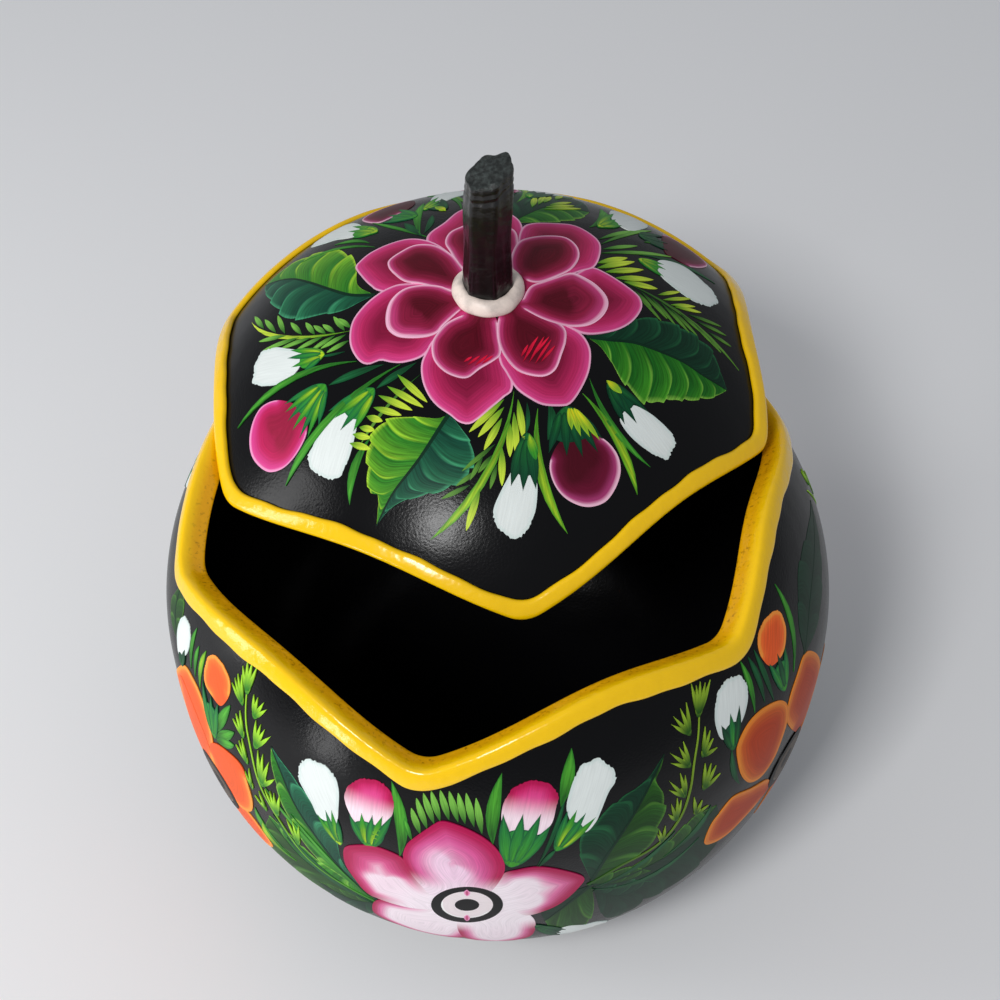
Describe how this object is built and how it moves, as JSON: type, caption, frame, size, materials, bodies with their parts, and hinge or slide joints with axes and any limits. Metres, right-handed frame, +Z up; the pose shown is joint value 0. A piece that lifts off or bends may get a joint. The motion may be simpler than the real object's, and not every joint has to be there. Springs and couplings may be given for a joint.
{
  "type": "gourd box",
  "caption": "Round lacquered gourd cut by a scalloped line into a bowl and a domed lid with enamelled edges and a stalk handle, for keeping small things in.",
  "frame": {"origin": "middle of the flat foot, on the surface it stands on", "axes": "+Z up, -Y towards the open front of the bowl, +X to the right seen from the front"},
  "size_m": [0.1499, 0.1762, 0.1709],
  "materials": {
    "black_lacquer": "dried gourd shell under polished black lacquer, painted with flowers and leaves outside",
    "yellow_enamel": "thick glossy yellow enamel, ochre where it runs over the cut face",
    "stained_stalk": "dry faceted gourd stalk, stained black and varnished",
    "cream_putty": "cream filler ring, satin, a little smudged"
  },
  "bodies": {
    "bowl": {"bowl_shell": "black_lacquer", "bowl_rim_bead": "yellow_enamel"},
    "lid": {"lid_shell": "black_lacquer", "lid_rim_bead": "yellow_enamel", "stalk_handle": "stained_stalk", "stalk_collar": "cream_putty"}
  },
  "joints": [
    {"name": "lid_lift", "type": "slide", "parent": "bowl", "child": "lid", "axis": [0, 0, 1], "range_m": [0, 0.1]}
  ]
}
